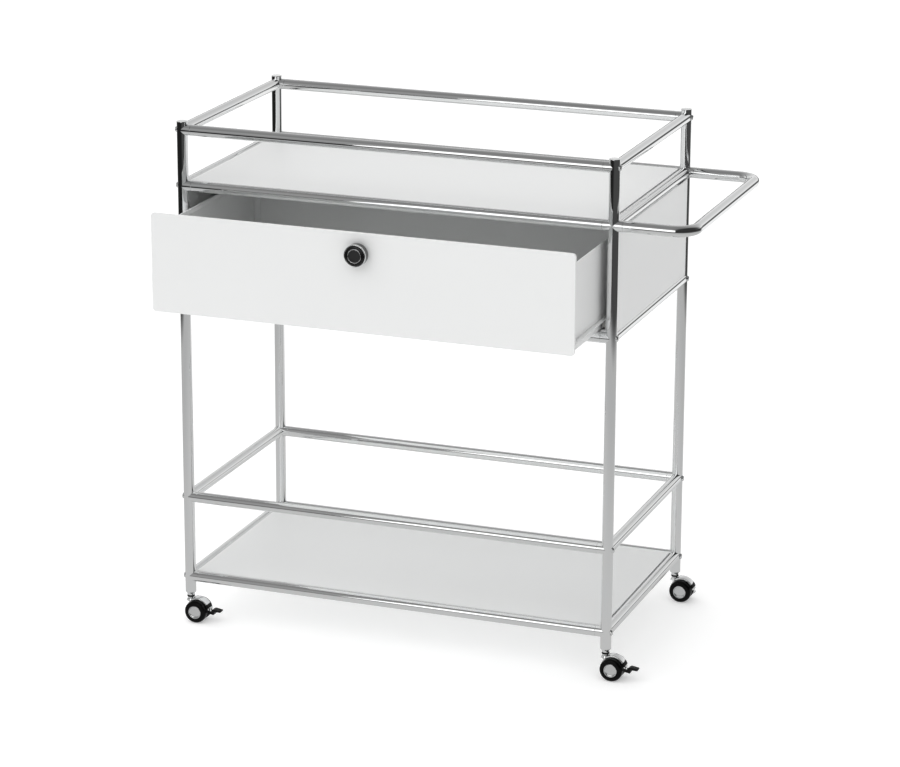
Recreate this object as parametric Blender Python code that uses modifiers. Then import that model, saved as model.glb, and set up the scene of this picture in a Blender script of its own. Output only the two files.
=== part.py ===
"""Bar cart on casters: a chromed tube frame with two shelves, a drawer bay, a push handle and four twin-wheel casters.

Units are metres, +Z up. The cart stands on z = 0, its long side runs along X, its drawer opens towards -Y and its
handle is at +X. The origin is the middle of the underside of the bounding box, with the drawer partly open.
"""

import math

import bmesh
import bpy
from mathutils import Matrix, Vector

# Driving dimensions
TUBE_R = 0.009  # outside radius of every frame tube
TUBE_WALL = 0.0015
SPAN_X = 0.730  # between post axes, along the cart
SPAN_Y = 0.385  # between post axes, front to back
FOOT_DROP = 0.030  # foot of a post to the axis of the lowest ring
LOWER_GALLERY_RISE = 0.140  # ring axis to ring axis, from the floor up
OPEN_BAY_RISE = 0.350
DRAWER_BAY_RISE = 0.181
UPPER_GALLERY_RISE = 0.092
POST_TOP_RISE = 0.014  # top ring axis to the top of a post
HANDLE_REACH = 0.125  # post axis to the axis of the handle's bar
HANDLE_BEND_R = 0.032

GAP = 0.0003  # left between pieces that touch

SHEET = 0.0012  # folded sheet steel
SKIN_OFFSET = 0.007  # tube axis to the outer face of a panel
PANEL_INSET = 0.0002  # panel rim to the tube beside it
PANEL_RIM = 0.010  # depth of a panel's folded rim

FRONT_GAP_X = 0.003  # drawer front to the posts
FRONT_GAP_Z = 0.001  # drawer front to the rails
FRONT_CORNER_R = 0.005
FRONT_RIM = 0.005  # depth of the front's folded rim
TRAY_TO_POST = 0.012  # drawer side to the post beside it, room for a runner
TRAY_TOP_DROP = 0.022  # top of the front to the top of the tray
TRAY_FLOOR_RISE = 0.0165  # bottom of the front to the underside of the tray
TRAY_BACK_GAP = 0.006  # tray to the back panel's rim, with the drawer shut
DRAWER_OPEN = 0.142  # how far the drawer stands open at rest

RUNNER_SHEET = 0.0012
RUNNER_FLANGE = 0.0085
ROLLER_R = 0.0066
ROLLER_LENGTH = 0.0066
ROLLER_FROM_POST = 0.015  # front roller's axis behind the front posts' axes
REAR_ROLLER_FROM_BACK = 0.013  # rear roller's axis in front of the tray's back

KNOB_R = 0.018
KNOB_BASE_LENGTH = 0.0115
KNOB_CAP_LENGTH = 0.006
KNOB_DROP = 0.033  # top of the front to the knob's axis

WHEEL_R = 0.019
WHEEL_WIDTH = 0.0135
WHEEL_INNER_Y = 0.0042  # middle of a caster to the inner face of a wheel
TRAIL = 0.0135  # swivel axis to axle
HUB_BORE_R = 0.0029
AXLE_R = 0.0025
HOOD_TO_TYRE = 0.0011
HOOD_SHELL = 0.0022
HOOD_HALF_WIDTH = 0.008
HOOD_TO_POST = 0.0067  # top of a hood to the foot of its post
WEB_HALF_WIDTH = 0.0022
NECK_R = 0.0058
SOCKET_NECK_LENGTH = 0.0035
STEM_R = 0.004
STEM_LENGTH = 0.022

PEDAL_TO_WHEEL = 0.003  # pedal's pivot behind the wheels
PEDAL_DROP = 0.0018  # axle to the pedal's pivot
PEDAL_BOSS_R = 0.002
PEDAL_HALF_WIDTH = 0.0055
PEDAL_REACH = 0.0205

POST_SIDES = 24
RAIL_SIDES = 16
WHEEL_SIDES = 24

# Heights of a caster and of the five rings' axes, from the lowest up
HOOD_R = WHEEL_R + HOOD_TO_TYRE + HOOD_SHELL
PEDAL_PIVOT_X = TRAIL + WHEEL_R + PEDAL_TO_WHEEL
PEDAL_PIVOT_Z = WHEEL_R - PEDAL_DROP
CASTER_HEIGHT = WHEEL_R + HOOD_R + HOOD_TO_POST  # floor to the foot of a post
RING_Z = [CASTER_HEIGHT + FOOT_DROP]
for rise in (LOWER_GALLERY_RISE, OPEN_BAY_RISE, DRAWER_BAY_RISE, UPPER_GALLERY_RISE):
    RING_Z.append(RING_Z[-1] + rise)
RING_NAMES = ("lower_shelf", "lower_gallery", "drawer_bay", "upper_shelf", "upper_gallery")
POST_TOP_Z = RING_Z[4] + POST_TOP_RISE
CORNERS = {
    "front_left": (-1, -1),
    "front_right": (1, -1),
    "back_left": (-1, 1),
    "back_right": (1, 1),
}

# Drawer sizes that follow from the frame
FRONT_HALF_X = SPAN_X / 2 - TUBE_R - FRONT_GAP_X
FRONT_BOTTOM_Z = RING_Z[2] + TUBE_R + FRONT_GAP_Z
FRONT_TOP_Z = RING_Z[3] - TUBE_R - FRONT_GAP_Z
FRONT_FACE_Y = -SPAN_Y / 2 - SKIN_OFFSET  # outer face, with the drawer shut
TRAY_HALF_X = SPAN_X / 2 - TUBE_R - TRAY_TO_POST
TRAY_FRONT_Y = FRONT_FACE_Y + SHEET + GAP
TRAY_BACK_Y = SPAN_Y / 2 + SKIN_OFFSET - PANEL_RIM - TRAY_BACK_GAP
TRAY_BOTTOM_Z = FRONT_BOTTOM_Z + TRAY_FLOOR_RISE
TRAY_TOP_Z = FRONT_TOP_Z - TRAY_TOP_DROP
KNOB_LENGTH = KNOB_BASE_LENGTH + KNOB_CAP_LENGTH + 2 * GAP

# Middle of the bounding box, seen from above, measured from the middle of the four posts
WHEEL_OUTER_Y = WHEEL_INNER_Y + WHEEL_WIDTH
LOW_X = -SPAN_X / 2 - TUBE_R
HIGH_X = SPAN_X / 2 + HANDLE_REACH + TUBE_R
LOW_Y = FRONT_FACE_Y - DRAWER_OPEN - KNOB_LENGTH
HIGH_Y = SPAN_Y / 2 + WHEEL_OUTER_Y
BOX_MIDDLE = Vector(((LOW_X + HIGH_X) / 2, (LOW_Y + HIGH_Y) / 2, 0))


def clear_scene():
    for obj in list(bpy.data.objects):
        bpy.data.objects.remove(obj, do_unlink=True)


def new_collection(name):
    collection = bpy.data.collections.new(name)
    bpy.context.scene.collection.children.link(collection)
    return collection


def finish_material(name, colour, roughness, metallic=0.0):
    """A Principled BSDF of one colour, for every piece with this finish."""
    made = bpy.data.materials.new(name)
    made.use_nodes = True
    shader = made.node_tree.nodes["Principled BSDF"]
    shader.inputs["Base Color"].default_value = (*colour, 1.0)
    shader.inputs["Roughness"].default_value = roughness
    shader.inputs["Metallic"].default_value = metallic
    made.diffuse_color = (*colour, 1.0)
    return made


def empty(name, parent, location=(0, 0, 0)):
    made = bpy.data.objects.new(name, None)
    made.empty_display_size = 0.02
    made.parent = parent
    made.location = location
    parts.objects.link(made)
    return made


def place(name, mesh, material, parent, location=(0, 0, 0), rotation=(0, 0, 0)):
    """One named sub-part: its mesh, its finish and its place under a parent."""
    made = bpy.data.objects.new(name, mesh)
    parts.objects.link(made)
    made.parent = parent
    made.location = location
    made.rotation_mode = "ZYX"
    made.rotation_euler = rotation
    mesh.materials.append(material)
    return made


def cutter(name, mesh, location=(0, 0, 0), rotation=(0, 0, 0), parent=None):
    """A hidden solid that cuts, or is joined to, the visible ones."""
    made = bpy.data.objects.new(name, mesh)
    cutters.objects.link(made)
    made.parent = parent or frame
    made.location = location
    made.rotation_mode = "ZYX"
    made.rotation_euler = rotation
    made.hide_render = True
    made.display_type = "WIRE"
    return made


def box_mesh(name, low, high):
    made = bmesh.new()
    bmesh.ops.create_cube(made, size=1.0)
    low = Vector(low)
    high = Vector(high)
    for vertex in made.verts:
        vertex.co = [low[i] + (vertex.co[i] + 0.5) * (high[i] - low[i]) for i in range(3)]
    return to_mesh(name, made)


def cylinder_mesh(name, radius, length, sides, turn=0.0):
    """A closed cylinder along Z, centred; turn rotates its sides about Z."""
    made = bmesh.new()
    bmesh.ops.create_cone(
        made, cap_ends=True, segments=sides, radius1=radius, radius2=radius, depth=length
    )
    bmesh.ops.rotate(made, verts=made.verts, matrix=Matrix.Rotation(turn, 3, "Z"))
    return to_mesh(name, made)


def open_tube_mesh(name, radius, length, sides):
    """The outer surface of a tube along Z, open at both ends, with its faces pointing out."""
    made = bmesh.new()
    bmesh.ops.create_cone(
        made, cap_ends=False, segments=sides, radius1=radius, radius2=radius, depth=length
    )
    made.normal_update()
    for face in made.faces:
        if face.normal.dot(face.calc_center_median()) < 0:
            face.normal_flip()
    return to_mesh(name, made)


def profile_mesh(name, points):
    """A line of points in the XZ plane, for a Screw modifier to turn about Z."""
    mesh = bpy.data.meshes.new(name)
    edges = [(i, i + 1) for i in range(len(points) - 1)]
    mesh.from_pydata([(r, 0, z) for r, z in points], edges, [])
    return mesh


def to_mesh(name, made):
    mesh = bpy.data.meshes.new(name)
    made.to_mesh(mesh)
    made.free()
    return mesh


def turned(obj, sides):
    """Turns the object's profile once round its own Z axis."""
    screw = obj.modifiers.new("turn", "SCREW")
    screw.steps = sides
    screw.render_steps = sides
    screw.use_merge_vertices = True
    screw.merge_threshold = 0.00001
    screw.use_smooth_shade = True
    return obj


def solidify(obj, thickness):
    shell = obj.modifiers.new("wall", "SOLIDIFY")
    shell.thickness = thickness
    shell.offset = -1.0
    shell.use_even_offset = True
    return obj


def boolean(obj, other, operation="DIFFERENCE"):
    change = obj.modifiers.new(other.name, "BOOLEAN")
    change.operation = operation
    change.object = other
    change.solver = "EXACT"


def outline_mesh(name, points, low, high):
    """A flat outline of (x, z) points, filled and extruded along Y from low to high."""
    curve = bpy.data.curves.new(name, "CURVE")
    curve.dimensions = "2D"
    curve.fill_mode = "BOTH"
    curve.extrude = (high - low) / 2
    spline = curve.splines.new("POLY")
    spline.points.add(len(points) - 1)
    for point, (x, z) in zip(spline.points, points):
        point.co = (x, z, 0, 1)
    spline.use_cyclic_u = True
    turn = Matrix.Translation((0, (low + high) / 2, 0)) @ Matrix.Rotation(math.pi / 2, 4, "X")
    return curve_to_mesh(name, curve, turn)


def curve_to_mesh(name, curve, turn=None):
    """The solid of a curve, with its caps welded on."""
    holder = bpy.data.objects.new(name, curve)
    cutters.objects.link(holder)
    bpy.context.view_layer.update()
    graph = bpy.context.evaluated_depsgraph_get()
    mesh = bpy.data.meshes.new_from_object(holder.evaluated_get(graph))
    bpy.data.objects.remove(holder)
    made = bmesh.new()
    made.from_mesh(mesh)
    bmesh.ops.remove_doubles(made, verts=made.verts, dist=0.000001)
    if turn is not None:
        made.transform(turn)
    bmesh.ops.recalc_face_normals(made, faces=made.faces)
    made.to_mesh(mesh)
    made.free()
    mesh.materials.clear()
    mesh.name = name
    return mesh


def arc(centre, radius, start, end, steps):
    """Points along an arc, in degrees, both ends included."""
    turns = [math.radians(start + (end - start) * i / steps) for i in range(steps + 1)]
    return [(centre[0] + radius * math.cos(t), centre[1] + radius * math.sin(t)) for t in turns]


def smooth_rounds(obj):
    """Shades a round piece's sides smooth and keeps its edges sharp."""
    obj.data.shade_smooth()
    obj.data.set_sharp_from_angle(angle=math.radians(35))


# Frame


def corner_place(corner, z=0.0):
    sx, sy = CORNERS[corner]
    return (sx * SPAN_X / 2, sy * SPAN_Y / 2, z)


def build_posts():
    """Four tubes, closed on top, each with a turned caster socket at its foot."""
    inside_r = TUBE_R - TUBE_WALL
    socket_r = STEM_R + GAP
    foot = CASTER_HEIGHT
    profile = [
        (0, POST_TOP_Z),
        (TUBE_R - 0.0008, POST_TOP_Z),
        (TUBE_R, POST_TOP_Z - 0.0008),
        (TUBE_R, foot + 0.0022),
        (NECK_R + 0.0004, foot),
        (NECK_R + 0.0004, foot - SOCKET_NECK_LENGTH),
        (socket_r, foot - SOCKET_NECK_LENGTH),
        (socket_r, foot + STEM_LENGTH),
        (inside_r, foot + STEM_LENGTH + 0.003),
        (inside_r, POST_TOP_Z - 0.004),
        (0, POST_TOP_Z - 0.004),
    ]
    for corner in CORNERS:
        mesh = profile_mesh("post_" + corner, profile)
        turned(place("post_" + corner, mesh, chrome, frame, corner_place(corner)), POST_SIDES)


def post_and_mitre_cutters():
    """For each corner: the post's clearance, and a block behind the mitre of each tube that meets another there."""
    height = POST_TOP_Z
    half = 0.030
    made = {}
    # Each block lies on the far side of a 45 degree plane through the post's axis, outwards or inwards in x and y.
    layout = {"x": (1, -1), "y": (-1, 1), "handle": (-1, -1), "y_beside_handle": (1, 1)}
    for corner, (sx, sy) in CORNERS.items():
        at = corner_place(corner, height / 2)
        post = cylinder_mesh("cope_" + corner, TUBE_R + GAP, height, POST_SIDES)
        made[corner] = {"post": cutter("cope_" + corner, post, at)}
        for kind, (out_x, out_y) in layout.items():
            shift = (half - GAP / 2) / math.sqrt(2)
            centre = (at[0] + sx * out_x * shift, at[1] + sy * out_y * shift, at[2])
            mesh = box_mesh("mitre", (-half, -half, -height / 2), (half, half, height / 2))
            made[corner][kind] = cutter("mitre_" + kind + "_" + corner, mesh, centre, (0, 0, math.pi / 4))
    return made


def build_rails(corner_cutters):
    """Five rings of four tubes, coped to the posts and mitred to each other."""
    for ring, z in zip(RING_NAMES, RING_Z):
        for end, sy in (("front", -1), ("back", 1)):
            name = ring + "_rail_" + end
            mesh = open_tube_mesh(name, TUBE_R, SPAN_X, RAIL_SIDES)
            rail = place(name, mesh, chrome, frame, (0, sy * SPAN_Y / 2, z), (0, math.pi / 2, 0))
            solidify(rail, TUBE_WALL)
            for corner in (end + "_left", end + "_right"):
                boolean(rail, corner_cutters[corner]["post"])
                boolean(rail, corner_cutters[corner]["x"])
            smooth_rounds(rail)
        for end, sx in (("left", -1), ("right", 1)):
            name = ring + "_rail_" + end
            mesh = open_tube_mesh(name, TUBE_R, SPAN_Y, RAIL_SIDES)
            rail = place(name, mesh, chrome, frame, (sx * SPAN_X / 2, 0, z), (math.pi / 2, 0, 0))
            solidify(rail, TUBE_WALL)
            for corner in ("front_" + end, "back_" + end):
                boolean(rail, corner_cutters[corner]["post"])
                boolean(rail, corner_cutters[corner]["y"])
                if name == "upper_shelf_rail_right":
                    boolean(rail, corner_cutters[corner]["y_beside_handle"])
            smooth_rounds(rail)


def build_handle(corner_cutters):
    """A U of tube on the right side, level with the upper shelf ring."""
    bar_x = SPAN_X / 2 + HANDLE_REACH
    side_y = SPAN_Y / 2
    bend_x = bar_x - HANDLE_BEND_R
    bend_y = side_y - HANDLE_BEND_R
    path = [(SPAN_X / 2, -side_y)]
    path += arc((bend_x, -bend_y), HANDLE_BEND_R, -90, 0, 8)
    path += arc((bend_x, bend_y), HANDLE_BEND_R, 0, 90, 8)
    path.append((SPAN_X / 2, side_y))
    curve = bpy.data.curves.new("push_handle", "CURVE")
    curve.dimensions = "3D"
    curve.bevel_depth = TUBE_R
    curve.bevel_resolution = 2
    curve.use_fill_caps = True
    spline = curve.splines.new("POLY")
    spline.points.add(len(path) - 1)
    for point, (x, y) in zip(spline.points, path):
        point.co = (x, y, 0, 1)
    handle = place("push_handle", curve_to_mesh("push_handle", curve), chrome, frame, (0, 0, RING_Z[3]))
    for corner in ("front_right", "back_right"):
        boolean(handle, corner_cutters[corner]["post"])
        boolean(handle, corner_cutters[corner]["handle"])
    smooth_rounds(handle)


# Panels


def pan_mesh(name, half_a, half_b):
    """A folded pan, skin up at z = 0 and rim down, as an open surface for Solidify."""
    made = bmesh.new()
    bmesh.ops.create_cube(made, size=1.0)
    for vertex in made.verts:
        vertex.co.x *= 2 * half_a
        vertex.co.y *= 2 * half_b
        vertex.co.z = 0.0 if vertex.co.z > 0 else -PANEL_RIM
    under = [face for face in made.faces if face.normal.z < -0.5]
    bmesh.ops.delete(made, geom=under, context="FACES_ONLY")
    return to_mesh(name, made)


def build_panels():
    """Two shelves and the drawer bay's floor, sides and back, each a pan with its skin outwards."""
    inset = TUBE_R + PANEL_INSET
    half_x = SPAN_X / 2 - inset
    half_y = SPAN_Y / 2 - inset
    bay_middle = (RING_Z[2] + RING_Z[3]) / 2
    half_bay = DRAWER_BAY_RISE / 2 - inset
    quarter = math.pi / 2
    layout = (
        ("upper_shelf", half_x, half_y, (0, 0, RING_Z[3] + SKIN_OFFSET), (0, 0, 0)),
        ("lower_shelf", half_x, half_y, (0, 0, RING_Z[0] + SKIN_OFFSET), (0, 0, 0)),
        ("bay_floor", half_x, half_y, (0, 0, RING_Z[2] - SKIN_OFFSET), (2 * quarter, 0, 0)),
        ("bay_back", half_x, half_bay, (0, SPAN_Y / 2 + SKIN_OFFSET, bay_middle), (-quarter, 0, 0)),
        ("bay_side_left", half_bay, half_y, (-SPAN_X / 2 - SKIN_OFFSET, 0, bay_middle), (0, -quarter, 0)),
        ("bay_side_right", half_bay, half_y, (SPAN_X / 2 + SKIN_OFFSET, 0, bay_middle), (0, quarter, 0)),
    )
    for name, half_a, half_b, at, turn in layout:
        panel = place(name, pan_mesh(name, half_a, half_b), white_coat, frame, at, turn)
        solidify(panel, SHEET)


# Drawer


def build_drawer_front():
    """A folded front: a rounded rectangle with a shallow rim turned back."""
    half_x = FRONT_HALF_X
    half_z = (FRONT_TOP_Z - FRONT_BOTTOM_Z) / 2
    middle_z = (FRONT_TOP_Z + FRONT_BOTTOM_Z) / 2

    def rounded(inset):
        r = FRONT_CORNER_R - inset
        cx = half_x - FRONT_CORNER_R
        cz = half_z - FRONT_CORNER_R
        corners = ((cx, cz, 0), (-cx, cz, 90), (-cx, -cz, 180), (cx, -cz, 270))
        return [point for x, z, turn in corners for point in arc((x, z), r, turn, turn + 90, 4)]

    outer = outline_mesh("drawer_front", rounded(0), 0, FRONT_RIM)
    inner = outline_mesh("front_pocket", rounded(SHEET), SHEET, FRONT_RIM + 0.01)
    at = (0, FRONT_FACE_Y, middle_z)
    front = place("drawer_front", outer, white_coat, drawer, at)
    boolean(front, cutter("front_pocket", inner, at, parent=drawer))


def build_tray():
    """The drawer's box, of sheet: two sides between front and back, and a floor inside them."""
    high = TRAY_TOP_Z
    low = TRAY_BOTTOM_Z
    inner_x = TRAY_HALF_X - SHEET
    for end, sx in (("left", -1), ("right", 1)):
        xs = sorted((sx * TRAY_HALF_X, sx * inner_x))
        mesh = box_mesh("tray", (xs[0], TRAY_FRONT_Y, low), (xs[1], TRAY_BACK_Y, high))
        place("drawer_side_" + end, mesh, white_coat, drawer)
    reach = inner_x - GAP
    back = box_mesh("tray", (-reach, TRAY_BACK_Y - SHEET, low), (reach, TRAY_BACK_Y, high))
    place("drawer_back", back, white_coat, drawer)
    floor_back = TRAY_BACK_Y - SHEET - GAP
    floor = box_mesh("tray", (-reach, TRAY_FRONT_Y, low), (reach, floor_back, low + SHEET))
    place("drawer_floor", floor, white_coat, drawer)


def build_knob():
    """A turned chrome base on the front and a black cap on it, along -Y."""
    z = FRONT_TOP_Z - KNOB_DROP
    base = [
        (0, KNOB_BASE_LENGTH),
        (KNOB_R - 0.0012, KNOB_BASE_LENGTH),
        (KNOB_R, KNOB_BASE_LENGTH - 0.0012),
        (KNOB_R, KNOB_BASE_LENGTH - 0.0045),
        (KNOB_R - 0.005, KNOB_BASE_LENGTH - 0.0075),
        (KNOB_R - 0.005, 0),
        (0, 0),
    ]
    cap = [
        (0, KNOB_CAP_LENGTH - 0.0010),
        (0.0098, KNOB_CAP_LENGTH - 0.0010),
        (0.0110, KNOB_CAP_LENGTH),
        (KNOB_R - 0.002, KNOB_CAP_LENGTH),
        (KNOB_R, KNOB_CAP_LENGTH - 0.002),
        (KNOB_R, 0.0006),
        (KNOB_R - 0.0006, 0),
        (0, 0),
    ]
    turn = (math.pi / 2, 0, 0)
    base_y = FRONT_FACE_Y - GAP
    cap_y = base_y - KNOB_BASE_LENGTH - GAP
    turned(place("knob_base", profile_mesh("knob_base", base), chrome, drawer, (0, base_y, z), turn), 32)
    turned(place("knob_cap", profile_mesh("knob_cap", cap), black_gloss, drawer, (0, cap_y, z), turn), 32)


def build_runners():
    """On each side, a channel on the posts and an angle under the tray, each with a nylon roller."""
    post_face = SPAN_X / 2 - TUBE_R - GAP
    plate_in = post_face - RUNNER_SHEET
    floor_low = RING_Z[2] + TUBE_R + GAP
    floor_high = floor_low + RUNNER_SHEET
    top = TRAY_BOTTOM_Z - GAP
    track = top - RUNNER_SHEET  # underside of the drawer angle's flange
    flange_out = TRAY_HALF_X + RUNNER_FLANGE - 0.0015
    roller_x = (TRAY_HALF_X + plate_in) / 2
    front_z = track - GAP - ROLLER_R
    rear_z = floor_high + GAP + ROLLER_R
    roller_y = -SPAN_Y / 2 + ROLLER_FROM_POST
    rear_y = TRAY_BACK_Y - REAR_ROLLER_FROM_BACK
    channel_back = SPAN_Y / 2 + SKIN_OFFSET - PANEL_RIM - GAP
    angle_front = FRONT_FACE_Y + FRONT_RIM + GAP
    channel = [
        (post_face, floor_low),
        (post_face, top + 0.004),
        (plate_in, top + 0.004),
        (plate_in, floor_high),
        (post_face - RUNNER_FLANGE, floor_high),
        (post_face - RUNNER_FLANGE, floor_low),
    ]
    angle = [
        (TRAY_HALF_X, FRONT_BOTTOM_Z + GAP),
        (TRAY_HALF_X, track),
        (flange_out, track),
        (flange_out, top),
        (TRAY_HALF_X - RUNNER_SHEET, top),
        (TRAY_HALF_X - RUNNER_SHEET, FRONT_BOTTOM_Z + GAP),
    ]
    pin = cylinder_mesh("roller_pin", 0.0015, plate_in - TRAY_HALF_X, 12)
    for end, sx in (("left", -1), ("right", 1)):
        points = [(sx * x, z) for x, z in channel]
        mesh = outline_mesh("cabinet_runner", points, -SPAN_Y / 2, channel_back)
        cabinet = place("cabinet_runner_" + end, mesh, white_coat, frame)
        points = [(sx * x, z) for x, z in angle]
        mesh = outline_mesh("drawer_runner", points, angle_front, TRAY_BACK_Y)
        inner = place("drawer_runner_" + end, mesh, white_coat, drawer)
        turn = (0, math.pi / 2, 0)
        pin_out = sx * (roller_x + ROLLER_R / 4)
        pin_in = sx * (roller_x - ROLLER_R / 4)
        boolean(cabinet, cutter("front_pin_" + end, pin, (pin_out, roller_y, front_z), turn), "UNION")
        rear_pin = cutter("rear_pin_" + end, pin, (pin_in, rear_y, rear_z), turn, drawer)
        boolean(inner, rear_pin, "UNION")
        for name, parent, at in (
            ("front_roller_", frame, (sx * roller_x, roller_y, front_z)),
            ("rear_roller_", drawer, (sx * roller_x, rear_y, rear_z)),
        ):
            roller = place(name + end, roller_mesh(name + end), nylon, parent, at, turn)
            turned(roller, 20)


def roller_mesh(name):
    """A roller's section: a ring with a running clearance on its pin."""
    half = ROLLER_LENGTH / 2
    bore = 0.0018
    points = [(bore, half), (ROLLER_R, half), (ROLLER_R, -half), (bore, -half), (bore, half)]
    return profile_mesh(name, points)


# Casters


def wheel_profile():
    """Half section of a wheel, its inner face at z = 0 and its capped hub outwards."""
    w = WHEEL_WIDTH
    outside = WHEEL_R / math.cos(math.pi / WHEEL_SIDES)  # flats reach the true radius
    return [
        (0, w),
        (0.0118, w),
        (0.0122, w - 0.0012),
        (outside - 0.0042, w - 0.0008),
        (outside - 0.0012, w - 0.0022),
        (outside, w - 0.0050),
        (outside, 0.0030),
        (outside - 0.0015, 0.0006),
        (outside - 0.0040, 0),
        (HUB_BORE_R, 0),
        (HUB_BORE_R, w - 0.0016),
        (0, w - 0.0016),
    ]


def hood_outline():
    """Side outline of a caster's hood and web, from the swivel axis, as (x, z)."""
    shoulder = WHEEL_R + HOOD_R - 0.0048
    under = WHEEL_R - 0.012
    points = arc((TRAIL, WHEEL_R), HOOD_R, 8, 108, 10)
    points += [(0.0045, shoulder + 0.0030), (-0.0030, shoulder), (-0.0035, shoulder - 0.0105)]
    points += [(0.0010, under + 0.0050), (0.0100, under), (PEDAL_PIVOT_X - 0.0135, under)]
    points.append((PEDAL_PIVOT_X - 0.0025, PEDAL_PIVOT_Z - 0.0037))
    points += arc((PEDAL_PIVOT_X, PEDAL_PIVOT_Z), PEDAL_BOSS_R, -60, 75, 5)
    return points


def build_housing(corner, place_at):
    """The cast hood: a web between the wheels, a rim over their treads, the neck, the stem and the axle."""
    name = "caster_housing_" + corner
    half = HOOD_HALF_WIDTH
    mesh = outline_mesh(name, hood_outline(), -half, half)
    housing = place(name, mesh, chrome, place_at)
    inner = WHEEL_R + HOOD_TO_TYRE
    quarter = (math.pi / 2, 0, 0)
    depth = 0.020
    neck_low = 0.028
    neck_high = CASTER_HEIGHT - SOCKET_NECK_LENGTH - GAP
    neck = cylinder_mesh("neck", NECK_R, neck_high - neck_low, 24)
    at = (0, 0, (neck_low + neck_high) / 2)
    boolean(housing, cutter("neck", neck, at, parent=place_at), "UNION")
    for side in (-1, 1):
        pocket = cylinder_mesh("wheel_pocket", inner, depth, 32)
        at = (TRAIL, side * (WEB_HALF_WIDTH + depth / 2), WHEEL_R)
        boolean(housing, cutter("wheel_pocket", pocket, at, quarter, place_at))
        low = (PEDAL_PIVOT_X - 0.0043, -depth / 2, 0)
        high = (PEDAL_PIVOT_X + 0.0100, depth / 2, PEDAL_PIVOT_Z + 0.0033)
        lug = box_mesh("lug_side", low, high)
        at = (0, side * (WEB_HALF_WIDTH + depth / 2), 0)
        boolean(housing, cutter("lug_side", lug, at, parent=place_at))
    stem_low = neck_high - 0.004
    stem_high = CASTER_HEIGHT + STEM_LENGTH - 0.001
    stem = cylinder_mesh("stem", STEM_R, stem_high - stem_low, 20)
    at = (0, 0, (stem_low + stem_high) / 2)
    boolean(housing, cutter("stem", stem, at, parent=place_at), "UNION")
    axle = cylinder_mesh("axle", AXLE_R, 2 * (WHEEL_OUTER_Y - 0.0026), 16)
    boolean(housing, cutter("axle", axle, (TRAIL, 0, WHEEL_R), quarter, place_at), "UNION")
    if corner.startswith("front"):
        hole = cylinder_mesh("pivot_hole", 0.0011, 0.02, 12)
        at = (PEDAL_PIVOT_X, 0, PEDAL_PIVOT_Z)
        boolean(housing, cutter("pivot_hole", hole, at, quarter, place_at))
    return housing


def build_pedal(corner, place_at):
    """A brake pedal: a stepped lever that forks round the housing's lug and turns on its own pin."""
    name = "brake_pedal_" + corner
    reach = PEDAL_REACH
    points = arc((0, 0), PEDAL_BOSS_R, 60, 270, 7)
    points += [(0.0075, -0.0032), (0.0085, 0.0036), (reach - 0.0005, 0.0026)]
    points += [(reach, 0.0056), (0.0085, 0.0074), (0.0050, 0.0066)]
    mesh = outline_mesh(name, points, -PEDAL_HALF_WIDTH, PEDAL_HALF_WIDTH)
    at = (PEDAL_PIVOT_X, 0, PEDAL_PIVOT_Z)
    pedal = place(name, mesh, black_plastic, place_at, at)
    slot_half = WEB_HALF_WIDTH + 0.0004
    slot = box_mesh("fork_slot", (-0.01, -slot_half, -0.01), (0.0030, slot_half, 0.01))
    boolean(pedal, cutter("fork_slot", slot, at, parent=place_at))
    pin = cylinder_mesh("pedal_pin", 0.0008, 2 * PEDAL_HALF_WIDTH - 0.002, 12)
    boolean(pedal, cutter("pedal_pin", pin, at, (math.pi / 2, 0, 0), place_at), "UNION")


def build_casters():
    """One caster under each post, trailing towards +X, with brakes on the two front ones."""
    half_flat = math.pi / WHEEL_SIDES
    for corner in CORNERS:
        swivel = empty("swivel_" + corner, frame, corner_place(corner))
        build_housing(corner, swivel)
        for side, sy in (("outer", -1), ("inner", 1)):
            if corner.startswith("back"):
                side = "inner" if side == "outer" else "outer"
            name = "wheel_" + side + "_" + corner
            at = (TRAIL, sy * WHEEL_INNER_Y, WHEEL_R)
            turn = (-sy * math.pi / 2, 0, half_flat)
            wheel = place(name, profile_mesh(name, wheel_profile()), tyre_rubber, swivel, at, turn)
            turned(wheel, WHEEL_SIDES)
        if corner.startswith("front"):
            build_pedal(corner, swivel)


clear_scene()
parts = new_collection("bar_cart")
cutters = new_collection("cutters")
chrome = finish_material("chrome", (0.78, 0.79, 0.80), 0.08, 1.0)
white_coat = finish_material("white_powder_coat", (0.83, 0.84, 0.83), 0.45)
black_gloss = finish_material("black_gloss_plastic", (0.010, 0.010, 0.011), 0.12)
black_plastic = finish_material("black_plastic", (0.012, 0.012, 0.013), 0.35)
tyre_rubber = finish_material("tyre_rubber", (0.010, 0.010, 0.012), 0.40)
nylon = finish_material("white_nylon", (0.70, 0.70, 0.68), 0.50)
frame = empty("cart_centre", None, tuple(-BOX_MIDDLE))
drawer = empty("drawer_slide", frame, (0, -DRAWER_OPEN, 0))
build_posts()
corner_cutters = post_and_mitre_cutters()
build_rails(corner_cutters)
build_handle(corner_cutters)
build_panels()
build_drawer_front()
build_tray()
build_knob()
build_runners()
build_casters()
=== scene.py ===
import math

import bmesh
import bpy
from mathutils import Matrix, Vector


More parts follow.
